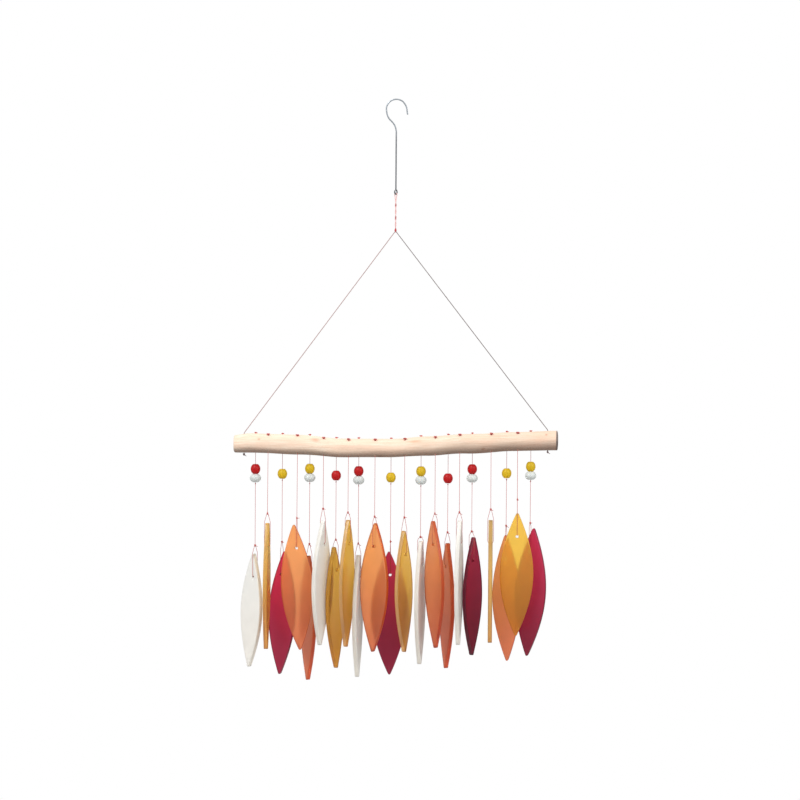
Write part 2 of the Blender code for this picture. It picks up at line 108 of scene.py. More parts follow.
# One row for each strand, as in the solids: its place off the even row in pitches and how much lower than
# its row it hangs, in metres; its leaf's length and width as shares, its turn and lean in degrees, and how
# far its hole is off the middle; its loop's length as a share; its glass; its beads, and how far under the
# branch they start
Strand = namedtuple("Strand", "place hang length width turn lean hole loop glass beads bead")
STRANDS = (
    Strand(-0.09, 0.0104, 0.92, 1.00, -51, -3.5, 0.0034, 1.01, "white", ("red", "clear"), 0.0130),
    Strand(-0.12, 0.0035, 1.00, 1.00, 88, -3.0, 0.0000, 1.05, "yellow", (), 0),
    Strand(-0.12, 0.0074, 0.99, 0.87, -24, -2.2, -0.0024, 1.03, "red", ("yellow",), 0.0166),
    Strand(0.02, 0.0047, 1.00, 0.93, -6, 3.4, 0.0017, 0.95, "orange", (), 0),
    Strand(-0.11, 0.0119, 1.00, 1.00, -64, 0.3, 0.0017, 1.11, "orange", ("yellow", "clear"), 0.0104),
    Strand(-0.08, 0.0006, 0.99, 1.00, 64, -2.5, 0.0009, 1.12, "white", (), 0),
    Strand(-0.18, 0.0024, 0.98, 1.00, 65, 3.0, 0.0028, 0.96, "yellow", ("red",), 0.0153),
    Strand(-0.27, -0.0003, 1.01, 1.00, 70, -2.0, 0.0000, 0.98, "yellow", (), 0),
    Strand(-0.53, 0.0108, 0.98, 1.00, 79, -1.2, -0.0008, 1.11, "white", ("red", "clear"), 0.0107),
    Strand(-0.33, 0.0025, 1.03, 1.00, -38, -1.0, -0.0008, 0.94, "orange", (), 0),
    Strand(-0.17, 0.0071, 0.99, 1.01, 5, 0.5, 0.0012, 1.06, "red", ("yellow",), 0.0171),
    Strand(-0.17, 0.0100, 0.97, 1.00, 64, 1.4, 0.0009, 1.16, "yellow", (), 0),
    Strand(0.03, -0.0037, 0.99, 1.00, 76, -1.2, -0.0008, 0.87, "white", ("yellow", "clear"), 0.0122),
    Strand(0.05, 0.0002, 1.01, 1.00, -61, 3.2, 0.0022, 0.98, "orange", (), 0),
    Strand(0.01, -0.0019, 1.01, 1.00, -70, -1.0, 0.0000, 1.08, "orange", ("red",), 0.0205),
    Strand(-0.17, -0.0005, 0.99, 1.00, 79, -2.5, -0.0015, 1.00, "white", (), 0),
    Strand(-0.22, -0.0078, 0.95, 1.00, 58, -1.2, -0.0032, 0.93, "red", ("red", "clear"), 0.0123),
    Strand(0.11, -0.0012, 0.98, 1.00, 87, 0.0, 0.0000, 1.08, "yellow", (), 0),
    Strand(0.30, -0.0102, 1.01, 0.84, -18, 1.1, 0.0000, 1.04, "orange", ("yellow",), 0.0188),
    Strand(0.04, -0.0084, 0.98, 0.98, -3, -0.5, 0.0000, 1.17, "yellow", (), 0),
    Strand(0.06, -0.0176, 1.03, 0.94, -22, -2.9, -0.0028, 0.90, "red", ("yellow", "clear"), 0.0125),
)

# Sizes that follow
SLING_SPAN = FIRST_STRAND_GAP + (len(STRANDS) - 1) * STRAND_PITCH + LAST_STRAND_GAP
BRANCH_LENGTH = SLING_SPAN + 2 * BRANCH_END_REACH
BRANCH_RADIUS = BRANCH_DIAMETER / 2
CORD_RADIUS = CORD_DIAMETER / 2
THREAD_RADIUS = THREAD_DIAMETER / 2
WIRE_RADIUS = WIRE_DIAMETER / 2
SLING_TOP_Z = -HOOK_LENGTH + GAP + CORD_RADIUS
PAIR_TOP_Z = SLING_TOP_Z - SLING_LOOP_LENGTH
APEX_Z = PAIR_TOP_Z - SLING_TWIST_LENGTH
BRANCH_Z = APEX_Z - SLING_RISE

# Finer form, which only the looks have
LEAF_EDGE_ROUNDING = 0.0010
LEAF_LIP_ROUNDING = 0.0004
LEAF_WAVE_HEIGHT = 0.00007
LEAF_WAVES_PER_METRE = 45
LEAF_TIP_REACH = 0.003
BEAD_BORE = THREAD_RADIUS + THREAD_CLEARANCE
BEAD_UNEVENNESS = 0.012
BEAD_LUMPS_PER_METRE = 260
FRONT_KNOT_DROP = 0.0009
FRONT_KNOT_WIDENING = 1.5
THREAD_PLY_PITCH = 0.0016
CORD_PLY_PITCH = 0.0028
PLY_GROOVE = 0.22
PAIR_TURN_LENGTH = 0.0125
END_SLANT = 0.0036
END_SLANT_REACH = 0.012

# Each kind of knot: its width and height, then the radius of its yarn in the lump and in its tails
LEAF_KNOT_SIZE = (LOOP_KNOT_DIAMETER * 1.05, LOOP_KNOT_DIAMETER * 1.35)
STOPPER_SIZE = (STOPPER_DIAMETER * 0.7, STOPPER_DIAMETER * 0.7)
APEX_KNOT_SIZE = (APEX_KNOT_DIAMETER, APEX_KNOT_DIAMETER * 1.5)
SLING_KNOT_SIZE = (SLING_KNOT_DIAMETER, SLING_KNOT_DIAMETER * 0.9)
THREAD_KNOT_YARN = (0.00042, THREAD_RADIUS)
STOPPER_YARN = (THREAD_RADIUS * 1.2, THREAD_RADIUS)
APEX_KNOT_YARN = (CORD_RADIUS * 1.05, CORD_RADIUS * 0.8)
SLING_KNOT_YARN = (CORD_RADIUS * 1.05, CORD_RADIUS * 0.7)

# How finely the meshes are made
OUTLINE_SPACING = 0.0011
THREAD_SPACING = 0.0003
CORD_SPACING = 0.0005
WIRE_SPACING = 0.0004
OUTLINE_STEPS = 60
LIP_STEPS = 3
FACE_STEPS = 11
EDGE_STEPS = 5
KNOT_STEPS = 34
PAIR_STEPS = 40
EYE_STEPS = 30
BEAD_STEPS = 22
RIM_STEPS = 7
KNOT_AROUND = 7
CORD_AROUND = 8
WIRE_AROUND = 16
BEAD_AROUND = 40
DRILL_AROUND = 16
BRANCH_ROWS = 420
BRANCH_AROUND = 84

# Camera, light and floor
CAMERA_DISTANCE = 1.70
FRAME_WIDTH = 0.80
FRAME_CENTRE = (0.0057, -0.300)
CAMERA_ROLL = math.radians(0.43)
# Lights: name, place and power in watts
LIGHTS = (
    ("key", (-1.15, -1.45, 1.55), 38),
    ("fill", (1.3, -1.3, 0.6), 12),
)
LIGHT_TARGET = (0, 0, -0.40)
LIGHT_SIZE = 0.9
FLOOR_Z = -2.2
FLOOR_RADIUS = 5.5
# The surround's greys from straight below, 0, to straight above, 1: as it is seen and as it lights
SEEN_GREYS = ((0.0, 0.45), (0.30, 0.85), (0.37, 1.0), (0.66, 1.0), (0.9, 0.85))
LIT_GREYS = ((0.0, 0.14), (0.36, 0.20), (0.48, 0.84), (1.0, 1.0))
# The share of its light that the surround loses in reflections, between two places from left to right
LOSS_PLACES = (-0.3, 0.4)
REFLECTION_LOSS = (0.35, 0.8)

# Values for the materials, and the direction up
# Places between which one colour turns into the next: painted shade deepening down the glass, the wire's
# curl into its shank, and painted light and shade across the sling's legs
GLASS_SHADE_Z = (-0.440, -0.560)
WIRE_TONE_Z = (-0.026, -0.040)
SLING_SHADE_X = (-0.003, 0.003)
LEAF_ROUGHNESS = (0.26, 0.34)
BEAD_ROUGHNESS = (0.42, 0.55)
GLASS_GRAIN = 0.00002
BLACK = (0.0, 0.0, 0.0)
UP = Vector((0, 0, 1))


# Meshes

def distances_along(points):
    """How far along the line each of its points is. The last is the line's length."""
    steps = np.linalg.norm(np.diff(points, axis=0), axis=1)
    return np.concatenate(([0.0], np.cumsum(steps)))


def resample(points, spacing):
    """The line again, with its points evenly spaced."""
    points = np.array(points, float)
    along = distances_along(points)
    count = max(2, round(along[-1] / spacing) + 1)
    places = np.linspace(0.0, along[-1], count)
    return np.stack([np.interp(places, along, column) for column in points.T], axis=1)


def soften(points, passes):
    """Rounds a line's corners by drawing each point towards its neighbours. The ends stay."""
    points = np.array(points, float)
    for _ in range(passes):
        points[1:-1] = points[1:-1] / 2 + (points[:-2] + points[2:]) / 4
    return points


def smooth_route(points, steps):
    """Points of a smooth curve through the given ones, with so many steps between each two."""
    points = [Vector(point) for point in points]
    ends = [points[0] * 2 - points[1]] + points + [points[-1] * 2 - points[-2]]
    route = []
    for before, start, end, after in zip(ends, ends[1:], ends[2:], ends[3:]):
        square = before * 2 - start * 5 + end * 4 - after
        cube = start * 3 - before - end * 3 + after
        for step in range(steps):
            share = step / steps
            bend = square * share * share + cube * share ** 3
            route.append(start + ((end - before) * share + bend) / 2)
    route.append(points[-1])
    return route


def add_object(name, data):
    """A new object, which the scene shows."""
    made = bpy.data.objects.new(name, data)
    bpy.context.scene.collection.objects.link(made)
    return made


def paint(mesh, name, colours):
    """A layer of colours on the mesh's points."""
    layer = mesh.color_attributes.new(name, "FLOAT_COLOR", "POINT")
    layer.data.foreach_set("color", np.ravel(colours))


def loft(name, rings, ends="capped"):
    """A closed surface through rings of equal counts. Its ends are capped, or joined to each other."""
    rings = np.array(rings, float)
    rows, around = rings.shape[:2]
    grid = np.arange(rows * around).reshape(rows, around)
    if ends == "joined":
        grid = np.vstack([grid, grid[:1]])
    beside = np.roll(grid, -1, axis=1)
    faces = np.stack([grid[:-1], beside[:-1], beside[1:], grid[1:]], axis=2).reshape(-1, 4).tolist()
    if ends == "capped":
        faces.append(grid[0, ::-1].tolist())
        faces.append(grid[-1].tolist())
    mesh = bpy.data.meshes.new(name)
    mesh.from_pydata(rings.reshape(-1, 3).tolist(), [], faces)
    work = bmesh.new()
    work.from_mesh(mesh)
    bmesh.ops.recalc_face_normals(work, faces=work.faces)
    work.to_mesh(mesh)
    work.free()
    mesh.shade_smooth()
    return add_object(name, mesh)


def directions_across(route):
    """Two directions across the route at each of its points, carried along it without a twist."""
    ahead = np.gradient(route, axis=0)
    ahead /= np.linalg.norm(ahead, axis=1)[:, None]
    # Any direction will do to start from, as long as no route sets out along it
    side = np.array((0.31, 0.93, 0.19))
    sides = []
    for direction in ahead:
        side = side - direction * side.dot(direction)
        side /= np.linalg.norm(side)
        sides.append(side)
    sides = np.array(sides)
    return sides, np.cross(ahead, sides)


def tube_rings(route, radii, around, plies=0, pitch=1.0):
    """Rings along a route. With plies, the section is that of so many strands laid round each other."""
    route = np.array(route, float)
    sides, ups = directions_across(route)
    angles = np.linspace(0, 2 * math.pi, around, endpoint=False)
    reach = np.ones((len(route), around)) * np.array(radii, float).reshape(-1, 1)
    if plies:
        lay = angles[None, :] - 2 * math.pi * distances_along(route)[:, None] / pitch
        reach *= 1 - PLY_GROOVE + PLY_GROOVE * np.abs(np.cos(lay * plies / 2))
    circle = np.cos(angles)[None, :, None] * sides[:, None, :]
    circle += np.sin(angles)[None, :, None] * ups[:, None, :]
    return route[:, None, :] + circle * reach[:, :, None]


def finish_piece(piece, material, slot, *nodes):
    """What every piece needs: its material, its body, and the solids that it stands for, which it hides. Its
    slot is not used.
    """
    piece.data.materials.clear()
    piece.data.materials.append(material)
    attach(piece, "root")
    if nodes:
        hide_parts(*nodes)
    return piece


# Places, worked out as in the solids

def branch_at(x):
    """Height of the branch's middle line and its radius at x."""
    share = min(max((x - BRANCH_SHIFT) / BRANCH_LENGTH + 0.5, 0.0), 1.0)
    for before, after in zip(BRANCH_FORM, BRANCH_FORM[1:]):
        if share <= after[0]:
            passed = (share - before[0]) / (after[0] - before[0])
            ease = passed * passed * (3 - 2 * passed)
            rise = before[1] + (after[1] - before[1]) * ease
            thickness = before[2] + (after[2] - before[2]) * ease
            return BRANCH_Z + rise * BRANCH_RADIUS, thickness * BRANCH_RADIUS


def branch_surface(x, y, side):
    """Height of the branch's surface over or under a point: side 1 is the top, -1 the underside."""
    middle, radius = branch_at(x)
    return middle + side * math.sqrt(radius ** 2 - y ** 2)


def number_of(index):
    return f"{index + 1:02d}"


def row_of(index):
    """1 for the strands of the back row, -1 for those of the front row."""
    return 1 if index % 2 == 0 else -1


def sling_hole_x(side):
    return BRANCH_SHIFT + side * SLING_SPAN / 2


def strand_x(index):
    return sling_hole_x(-1) + FIRST_STRAND_GAP + (index + STRANDS[index].place) * STRAND_PITCH


def leaf_hole(index):
    row = row_of(index)
    hang = (BACK_HANG if row > 0 else FRONT_HANG) + STRANDS[index].hang
    return Vector((strand_x(index), row * LEAF_ROW_OFFSET, BRANCH_Z - hang))


def thread_knot(index):
    return leaf_hole(index) + UP * LOOP_LENGTH * STRANDS[index].loop


def thread_at(index, z):
    """The thread's place at a height between the branch's underside and the knot over the leaf."""
    x = strand_x(index)
    y = row_of(index) * HOLE_ROW_OFFSET
    start = Vector((x, y, branch_surface(x, y, -1)))
    knot = thread_knot(index)
    return start.lerp(knot, (start.z - z) / (start.z - knot.z))


Bead = namedtuple("Bead", "kind z radius length")


def bead_stack(index):
    """The strand's beads from the top, each with the height of its middle."""
    strand = STRANDS[index]
    z = branch_surface(strand_x(index), row_of(index) * HOLE_ROW_OFFSET, -1) - strand.bead
    stack = []
    for kind in strand.beads:
        clear = kind == "clear"
        length = CLEAR_BEAD_LENGTH if clear else BEAD_LENGTH
        radius = (CLEAR_BEAD_DIAMETER if clear else BEAD_DIAMETER) / 2
        stack.append(Bead(kind, z - length / 2, radius, length))
        z -= length
    return stack


# Materials

def set_inputs(tree, node, inputs):
    """Sets a node's inputs, and links those that are given a socket."""
    for name, value in inputs.items():
        if isinstance(value, bpy.types.NodeSocket):
            tree.links.new(value, node.inputs[name])
        else:
            node.inputs[name].default_value = value


def add_node(tree, kind, inputs, **settings):
    """A shader node with its settings and its inputs."""
    made = tree.nodes.new(kind)
    for name, value in settings.items():
        setattr(made, name, value)
    set_inputs(tree, made, inputs)
    return made


def axes_of(tree, vector):
    """The vector's X, Y and Z, as sockets."""
    return add_node(tree, "ShaderNodeSeparateXYZ", {"Vector": vector}).outputs


def map_range(tree, value, taken=(0.0, 1.0), given=(0.0, 1.0), kind="LINEAR"):
    """The value brought from one range to another, and kept inside it."""
    inputs = {"Value": value, "From Min": taken[0], "From Max": taken[1]}
    inputs.update({"To Min": given[0], "To Max": given[1]})
    return add_node(tree, "ShaderNodeMapRange", inputs, interpolation_type=kind).outputs["Result"]


def calculate(tree, operation, first, second):
    return add_node(tree, "ShaderNodeMath", {0: first, 1: second}, operation=operation).outputs["Value"]


def painted(tree, layer):
    """The outputs of a layer of colours painted on the mesh."""
    return add_node(tree, "ShaderNodeVertexColor", {}, layer_name=layer).outputs


def new_material(name):
    material = bpy.data.materials.new(name)
    material.use_nodes = True
    tree = material.node_tree
    place = tree.nodes.new("ShaderNodeTexCoord").outputs["Object"]
    return material, tree, tree.nodes["Principled BSDF"], place


def noise_at(tree, place, scale, detail, roughness, stretch=None):
    """A noise texture at a scale in cycles a metre, drawn out along the axes where stretch says so."""
    if stretch:
        place = add_node(tree, "ShaderNodeMapping", {"Vector": place, "Scale": stretch}).outputs["Vector"]
    inputs = {"Vector": place, "Scale": scale, "Detail": detail, "Roughness": roughness}
    return add_node(tree, "ShaderNodeTexNoise", inputs).outputs["Fac"]


def ramp(tree, value, *stops):
    """A colour ramp from rows of position and colour, where one number is a grey."""
    made = add_node(tree, "ShaderNodeValToRGB", {"Fac": value})
    elements = made.color_ramp.elements
    while len(elements) < len(stops):
        elements.new(0.5)
    for element, (position, colour) in zip(elements, stops):
        element.position = position
        element.color = (*colour, 1.0) if isinstance(colour, tuple) else (colour, colour, colour, 1.0)
    return made.outputs["Color"]


def mix(tree, share, first, second, blend="MIX"):
    """Two colours mixed or multiplied. Colours go into this node at 6 and 7 and come out at 2."""
    inputs = {0: share}
    for place, colour in ((6, first), (7, second)):
        inputs[place] = (*colour, 1.0) if isinstance(colour, tuple) else colour
    return add_node(tree, "ShaderNodeMix", inputs, data_type="RGBA", blend_type=blend).outputs[2]


def bump(tree, height, distance, strength):
    inputs = {"Height": height, "Distance": distance, "Strength": strength}
    return add_node(tree, "ShaderNodeBump", inputs).outputs["Normal"]


def shade(colour, factor):
    return tuple(min(channel * factor, 1.0) for channel in colour)


def frosted_glass(name, upper, lower, transmission, roughness, with_painted_light=False):
    """Sandblasted glass: a cloudy tint with painted shade deepening it downwards, a fine pitted surface,
    soft see-through.
    """
    material, tree, shader, place = new_material(name)
    # Painted shade: the tint darkens from the top of the leaves downwards
    share = map_range(tree, axes_of(tree, place)["Z"], GLASS_SHADE_Z, kind="SMOOTHSTEP")
    clouded = ramp(tree, noise_at(tree, place, 55.0, 3.0, 0.55), (0.25, 0.93), (0.75, 1.0))
    tint = mix(tree, 1.0, mix(tree, share, upper, lower), clouded, "MULTIPLY")
    # Painted light and shade on the leaves' walls and on some whole leaves, and a painted highlight on some
    # left walls
    if with_painted_light:
        painted_light_and_shade = painted(tree, "painted_light_and_shade")
        tint = mix(tree, painted_light_and_shade["Alpha"], mix(tree, 1.0, tint, painted_light_and_shade["Color"], "MULTIPLY"), WALL_HIGHLIGHT)
    wear = noise_at(tree, place, 240.0, 4.0, 0.6)
    pits = noise_at(tree, place, 2600.0, 2.0, 0.6)
    set_inputs(tree, shader, {
        "Base Color": tint,
        "Roughness": map_range(tree, wear, given=roughness),
        "IOR": 1.5,
        "Specular IOR Level": 0.2,
        "Transmission Weight": transmission,
        "Normal": bump(tree, pits, GLASS_GRAIN, 0.6),
    })
    return material


def yarn(name, colour):
    """Spun fibre: lighter and darker threads, and a fuzzy bump."""
    material, tree, shader, place = new_material(name)
    fibre = noise_at(tree, place, 2400.0, 3.0, 0.7)
    set_inputs(tree, shader, {
        "Base Color": ramp(tree, fibre, (0.30, shade(colour, 0.72)), (0.72, shade(colour, 1.25))),
        "Roughness": 0.75,
        "Sheen Weight": 0.3,
        "Normal": bump(tree, fibre, 0.00006, 0.7),
    })
    return material


def sling_yarn(name):
    """The sling's cord with painted light and shade: pinkish where lit at its left, dark grey in shade at
    its right, and red with painted pale highlight bands where twisted.
    """
    material, tree, shader, place = new_material(name)
    left = (0.36, 0.20, 0.19)
    right = (0.115, 0.085, 0.085)
    red = (0.42, 0.03, 0.035)
    pink = (0.80, 0.44, 0.42)
    pale_fibre = (0.66, 0.60, 0.58)
    axes = axes_of(tree, place)
    # Painted light and shade: the left leg pinkish where lit, the right leg dark grey in shade
    legs = mix(tree, map_range(tree, axes["X"], SLING_SHADE_X), left, right)
    height = map_range(tree, axes["Z"], (APEX_Z, PAIR_TOP_Z))
    # Painted highlights: pale pink bands between the red of the twisted pair
    pair = ramp(tree, height, (0.02, red), (0.14, pink), (0.32, pink), (0.40, red), (0.48, pink),
                (0.74, pink), (0.81, red), (0.88, pink))
    spun = mix(tree, ramp(tree, height, (0.0, 0.0), (0.02, 1.0)), legs, pair)
    fibre = noise_at(tree, place, 1500.0, 3.0, 0.7)
    set_inputs(tree, shader, {
        "Base Color": mix(tree, map_range(tree, fibre, given=(0.0, 0.30)), spun, pale_fibre),
        "Roughness": 0.8,
        "Sheen Weight": 0.2,
        "Normal": bump(tree, fibre, 0.00008, 0.7),
    })
    return material


def galvanised_wire(name):
    """Dull zinc, bluish in the curl and darker down the shank."""
    material, tree, shader, place = new_material(name)
    spangle = noise_at(tree, place, 500.0, 3.0, 0.5)
    share = map_range(tree, axes_of(tree, place)["Z"], WIRE_TONE_Z)
    curl = ramp(tree, spangle, (0.3, (0.36, 0.40, 0.44)), (0.7, (0.46, 0.50, 0.54)))
    shank = ramp(tree, spangle, (0.3, (0.16, 0.17, 0.185)), (0.7, (0.25, 0.26, 0.28)))
    set_inputs(tree, shader, {
        "Base Color": mix(tree, share, curl, shank),
        "Roughness": map_range(tree, spangle, given=(0.35, 0.5)),
        "Metallic": 0.7,
        "Normal": bump(tree, spangle, 0.00002, 0.3),
    })
    return material


def bleached_wood(name):
    """Peeled wood bleached by sun and water: long pale grain, warmer patches, small pin knots, and painted
    shade on its underside and right half.
    """
    material, tree, shader, place = new_material(name)
    long_grain = noise_at(tree, place, 620.0, 4.0, 0.55, stretch=(0.06, 1.0, 1.0))
    fine_grain = noise_at(tree, place, 2200.0, 3.0, 0.6, stretch=(0.09, 1.0, 1.0))
    patches = noise_at(tree, place, 48.0, 4.0, 0.6, stretch=(0.7, 1.0, 1.0))
    grain = ramp(tree, long_grain, (0.30, (0.72, 0.53, 0.40)), (0.50, (0.81, 0.64, 0.50)),
                 (0.7, (0.86, 0.72, 0.59)))
    warm = ramp(tree, patches, (0.42, 0.0), (0.66, 1.0))
    patched = mix(tree, warm, grain, mix(tree, 0.5, grain, (0.90, 0.62, 0.47)))
    fine = ramp(tree, fine_grain, (0.35, (0.90, 0.86, 0.82)), (0.6, 1.0))
    tint = mix(tree, 0.5, patched, fine, "MULTIPLY")
    set_inputs(tree, shader, {
        # The painted layer holds the pin knots, and painted shade on the underside and right half
        "Base Color": mix(tree, 1.0, tint, painted(tree, "marks_and_shade")["Color"], "MULTIPLY"),
        "Roughness": map_range(tree, long_grain, given=(0.62, 0.86)),
        "Normal": bump(tree, calculate(tree, "ADD", long_grain, fine_grain), 0.00012, 0.55),
    })
    return material


def plain_floor(name):
    material, tree, shader, place = new_material(name)
    speck = noise_at(tree, place, 9.0, 4.0, 0.6)
    set_inputs(tree, shader, {"Base Color": ramp(tree, speck, (0.3, 0.56), (0.7, 0.6)), "Roughness": 0.8})
    return material


# Each leaf glass: its tint at the top and lower down, darker there with painted shade, and how much light
# passes through it
LEAF_GLASS = {
    "white": ((1.0, 1.0, 0.96), (1.0, 0.965, 0.90), 0.30),
    "yellow": ((1.0, 0.63, 0.09), (0.76, 0.34, 0.040), 0.78),
    "orange": ((1.0, 0.43, 0.145), (0.80, 0.225, 0.10), 0.68),
    "red": ((0.76, 0.035, 0.115), (0.34, 0.018, 0.052), 0.68),
}
# What each glass is multiplied by on its left and its right wall: painted light and shade, different on the
# two sides
WALL_LIGHT_AND_SHADE = {
    "white": ((0.90, 0.88, 0.85), (0.97, 0.95, 0.90)),
    "yellow": ((1.0, 1.0, 1.0), (0.92, 0.70, 0.45)),
    "orange": ((0.78, 0.60, 0.55), (0.92, 0.42, 0.30)),
    "red": ((0.55, 0.60, 0.75), (0.72, 0.75, 0.80)),
}
# A painted highlight, and the leaves whose left wall it takes over in part
WALL_HIGHLIGHT = (1.0, 0.80, 0.60)
WALL_HIGHLIGHT_SHARE = {2: 0.2, 8: 0.5, 12: 0.5, 18: 0.35}
# Leaves painted lighter or darker than the others of their colour, for the light and shade that they stand
# in
LEAF_LIGHT_AND_SHADE = {
    3: (1.30, 1.30, 1.30),
    11: (0.90, 0.90, 0.90),
    14: (0.93, 0.82, 0.84),
    15: (0.98, 0.80, 0.78),
    17: (0.66, 0.60, 0.66),
    18: (0.85, 0.85, 0.85),
    21: (0.84, 0.84, 0.84),
}
# Each bead glass: its tint, and how much light passes through it
BEAD_GLASS = {
    "red": ((0.62, 0.002, 0.004), 0.4),
    "yellow": ((0.84, 0.58, 0.010), 0.4),
    "clear": ((0.80, 0.84, 0.82), 0.35),
}


# The camera

def make_camera():
    lens = bpy.data.cameras.new("camera")
    lens.lens = lens.sensor_width * CAMERA_DISTANCE / FRAME_WIDTH
    camera = add_object("camera", lens)
    camera.location = (FRAME_CENTRE[0], -CAMERA_DISTANCE, FRAME_CENTRE[1])
    camera.rotation_euler = (math.pi / 2, -CAMERA_ROLL, 0)
    bpy.context.scene.camera = camera


# Cords and their knots

def knot_rings(centre, size, yarns, turn, tails):
    """Rings of an overhand knot pulled tight, from one tail through its crossings to the other."""
    across, high = size
    yarn_radius, tail_radius = yarns
    spin = Matrix.Rotation(turn, 3, "Z")
    reach = across / 2 - yarn_radius
    route = []
    for step in range(KNOT_STEPS + 1):
        # The curve stays a little open, and the tails begin there
        angle = 2 * math.pi * (0.03 + 0.94 * step / KNOT_STEPS)
        x = (math.sin(angle) + 2 * math.sin(2 * angle)) / 3 * reach
        z = (math.cos(angle) - 2 * math.cos(2 * angle)) / 3 * (high / 2 - yarn_radius)
        y = -math.sin(3 * angle) * reach * 0.55
        route.append(Vector(centre) + spin @ Vector((x, y, z)))
    first, last = tails
    route = [Vector(centre) + Vector(first)] + route + [Vector(centre) + Vector(last)]
    route = soften(resample(route, tail_radius), 3)
    away = np.linalg.norm(route - np.array(centre), axis=1)
    in_tail = np.clip((away - reach) / (2 * yarn_radius), 0, 1)
    return tube_rings(route, yarn_radius + (tail_radius - yarn_radius) * in_tail, KNOT_AROUND)


def make_knot(name, centre, size, yarns, turn, tails, look):
    """A knot with its size and yarn radii, its turn, and where its tails end, from its centre."""
    return finish_piece(loft(name, knot_rings(centre, size, yarns, turn, tails)), *look)


def loop_points(index):
    """The loop through the leaf: down its back, through the top of the hole and up its front."""
    hole = leaf_hole(index)
    knot = thread_knot(index)
    turn = math.radians(STRANDS[index].turn)
    forward = Vector((math.sin(turn), -math.cos(turn), 0))
    off_face = LEAF_THICKNESS / 2 + GAP + THREAD_DIAMETER
    in_hole = LEAF_HOLE_DIAMETER / 2 - GAP - THREAD_DIAMETER
    tip = hole + UP * (LEAF_HOLE_DROP + LEAF_EDGE_ROUNDING)
    shoulder = in_hole + THREAD_DIAMETER
    end = forward * LOOP_KNOT_DIAMETER / 4
    points = [knot - end]
    for side in (-1, 1):
        leg = [tip + forward * off_face * side, hole + forward * off_face * side + UP * shoulder * 2]
        leg.append(hole + forward * LEAF_THICKNESS / 2 * side + UP * in_hole)
        points += leg if side < 0 else reversed(leg)
    points.append(knot + end)
    return points


def make_thread(index, thread_yarn):
    """The thread of one strand, with its knots, from the branch's top to the loop through its leaf."""
    number = number_of(index)
    look = (thread_yarn, "red_thread")
    draw = np.random.default_rng(index + 1)
    x = strand_x(index)
    y = row_of(index) * HOLE_ROW_OFFSET
    over = branch_surface(x, y, 1)
    under = branch_surface(x, y, -1)
    branch_radius = branch_at(x)[1]
    steepness = branch_radius / math.sqrt(branch_radius ** 2 - y ** 2)
    top = Vector((x, y, over + (TOP_KNOT_DIAMETER / 2 + GAP) * steepness))
    points = [top, Vector((x, y, over)), Vector((x, y, under)), thread_knot(index)] + loop_points(index)
    route = soften(resample(points, THREAD_SPACING), 4)
    rings = tube_rings(route, THREAD_RADIUS, CORD_AROUND, plies=2, pitch=THREAD_PLY_PITCH)
    thread = finish_piece(loft(f"thread_{number}", rings), *look, f"leaf_thread_{number}")

    in_front = y < 0
    size = (TOP_KNOT_DIAMETER * (FRONT_KNOT_WIDENING if in_front else 1), TOP_KNOT_DIAMETER)
    seat = top + Vector((0, y * 0.1, -FRONT_KNOT_DROP if in_front else 0))
    # Most top knots point their longer tail to the right
    way = 1 if draw.random() < 0.7 else -1
    tails = ((way * draw.uniform(0.0014, 0.0021), -0.0006, draw.uniform(-0.0002, 0.0007)),
             (-way * 0.0013, draw.uniform(-0.0009, 0.0003), draw.uniform(0.0002, 0.0009)))
    turn = draw.uniform(0, math.pi)
    knots = [make_knot(f"top_knot_{number}", seat, size, THREAD_KNOT_YARN, turn, tails, look)]

    side = draw.uniform(0.0013, 0.0030)
    tails = ((0, 0, 0.0016), (side, draw.uniform(-0.0012, 0.0006), draw.uniform(-0.0026, 0.0003)))
    turn = draw.uniform(0, math.pi)
    name = f"leaf_knot_{number}"
    place = thread_knot(index)
    knots.append(make_knot(name, place, LEAF_KNOT_SIZE, THREAD_KNOT_YARN, turn, tails, look))

    if STRANDS[index].beads:
        last = bead_stack(index)[-1]
        place = thread_at(index, last.z - last.length / 2 - GAP - STOPPER_DIAMETER / 2)
        tails = ((0, 0, 0.001), (0, 0, -0.001))
        turn = draw.uniform(0, math.pi)
        name = f"bead_stopper_{number}"
        knots.append(make_knot(name, place, STOPPER_SIZE, STOPPER_YARN, turn, tails, look))


def pair_strand(phase, going_up):
    """One of the two twisted strands above the sling's knot, at its place round the other."""
    points = []
    for step in range(PAIR_STEPS + 1):
        share = step / PAIR_STEPS
        angle = phase + 2 * math.pi * share * SLING_TWIST_LENGTH / PAIR_TURN_LENGTH
        offset = Vector((math.cos(angle), math.sin(angle), 0)) * CORD_RADIUS * 0.95
        points.append(Vector((0, 0, APEX_Z + share * SLING_TWIST_LENGTH)) + offset)
    return points if going_up else points[::-1]


def sling_leg(side):
    """From under the branch, up through its hole and on to the knot where the legs meet."""
    x = sling_hole_x(side)
    below = branch_surface(x, 0, -1) - GAP - SLING_KNOT_DIAMETER / 2
    top = Vector((x, 0, branch_surface(x, 0, 1) + CORD_DIAMETER))
    return [Vector((x, 0, below)), top, Vector((side * CORD_RADIUS * 0.6, 0, APEX_Z - CORD_DIAMETER))]


